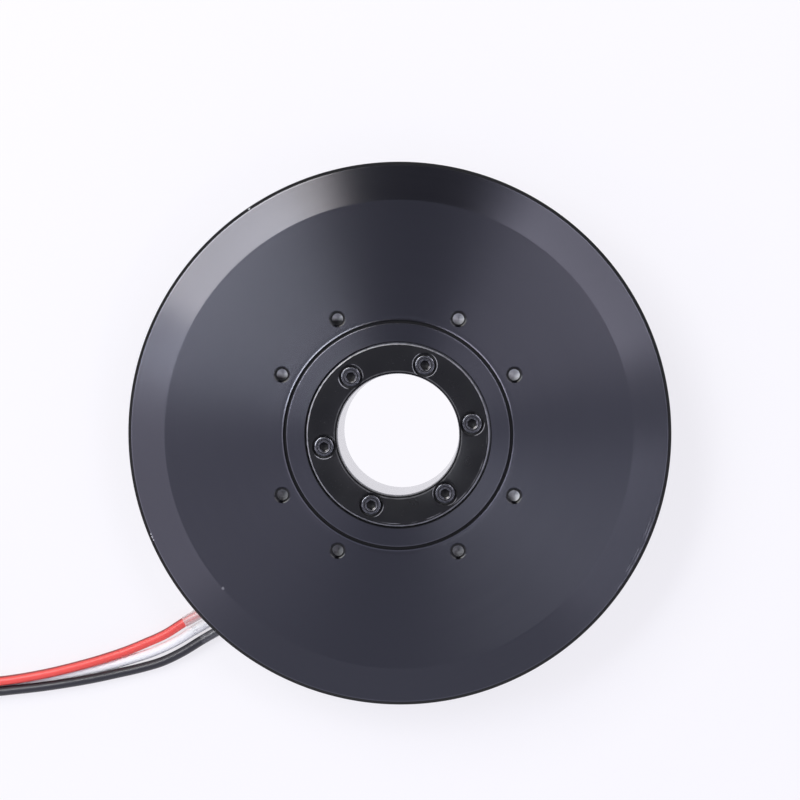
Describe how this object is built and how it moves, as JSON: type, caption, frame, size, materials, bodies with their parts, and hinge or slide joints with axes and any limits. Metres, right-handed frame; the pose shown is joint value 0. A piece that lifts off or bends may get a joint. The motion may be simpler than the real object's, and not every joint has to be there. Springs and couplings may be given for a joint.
{
  "type": "brushless servo motor",
  "caption": "Flat hollow-shaft brushless motor with a black bevelled outer rotor, a fixed centre ring with cap screws, a bright through bore and three flying leads.",
  "frame": {"origin": "centre of the rear mounting face", "axes": "+Z along the motor's axis, from the mounting face to the turning front face; +Y is up in the picture; the leads leave towards -X, -Y"},
  "size_m": [0.2616, 0.1654, 0.034],
  "materials": {
    "anodised_black": "turned and anodised, semi-gloss",
    "bare_aluminium": "bored, bright",
    "black_steel": "black oxide",
    "lamination_steel": "stacked sheets, dull",
    "ring_steel": "turned",
    "magnet_plating": "nickel plated",
    "bearing_steel": "ground",
    "cage_brass": "machined",
    "copper_wire": "enamelled copper",
    "insulator": "moulded, matt",
    "splice_tin": "tinned",
    "grommet": "matt",
    "clear_sleeve": "clear, glossy",
    "red_silicone": "smooth silicone",
    "white_silicone": "smooth silicone",
    "black_silicone": "smooth silicone"
  },
  "bodies": {
    "base": {"base_plate": "anodised_black", "hollow_shaft": "bare_aluminium", "shaft_screws": "black_steel", "hub_ring": "anodised_black", "hub_screws": "black_steel", "stator_core": "lamination_steel", "front_insulator": "insulator", "rear_insulator": "insulator", "coils_phase_a": "copper_wire", "coils_phase_b": "copper_wire", "coils_phase_c": "copper_wire", "phase_wires": "copper_wire", "star_wire": "copper_wire", "lead_splices": "splice_tin", "front_inner_race": "bearing_steel", "rear_inner_race": "bearing_steel", "inner_spacer": "bare_aluminium", "lead_grommet": "grommet", "sleeve_red": "clear_sleeve", "sleeve_white": "clear_sleeve", "sleeve_black": "clear_sleeve", "lead_red": "red_silicone", "lead_white": "white_silicone", "lead_black": "black_silicone", "lead_coil": "black_silicone", "lead_tips": "splice_tin"},
    "rotor": {"rotor_bell": "anodised_black", "back_iron": "ring_steel", "magnets_north": "magnet_plating", "magnets_south": "magnet_plating", "front_outer_race": "bearing_steel", "rear_outer_race": "bearing_steel", "outer_spacer": "bare_aluminium", "front_shields": "bearing_steel", "rear_shields": "bearing_steel", "snap_ring": "black_steel"},
    "front_ball_set": {"front_balls": "bearing_steel", "front_cage": "cage_brass"},
    "rear_ball_set": {"rear_balls": "bearing_steel", "rear_cage": "cage_brass"}
  },
  "joints": [
    {"name": "rotor_spin", "type": "hinge", "parent": "base", "child": "rotor", "pos_m": [0, 0, 0.0185], "axis": [0, 0, 1], "continuous": true},
    {"name": "front_ball_set_spin", "type": "hinge", "parent": "base", "child": "front_ball_set", "pos_m": [0, 0, 0.025], "axis": [0, 0, 1], "continuous": true},
    {"name": "rear_ball_set_spin", "type": "hinge", "parent": "base", "child": "rear_ball_set", "pos_m": [0, 0, 0.0141], "axis": [0, 0, 1], "continuous": true}
  ],
  "couplings": [
    {"joint": "front_ball_set_spin", "follows": "rotor_spin", "ratio": 0.53443},
    {"joint": "rear_ball_set_spin", "follows": "rotor_spin", "ratio": 0.53443}
  ]
}
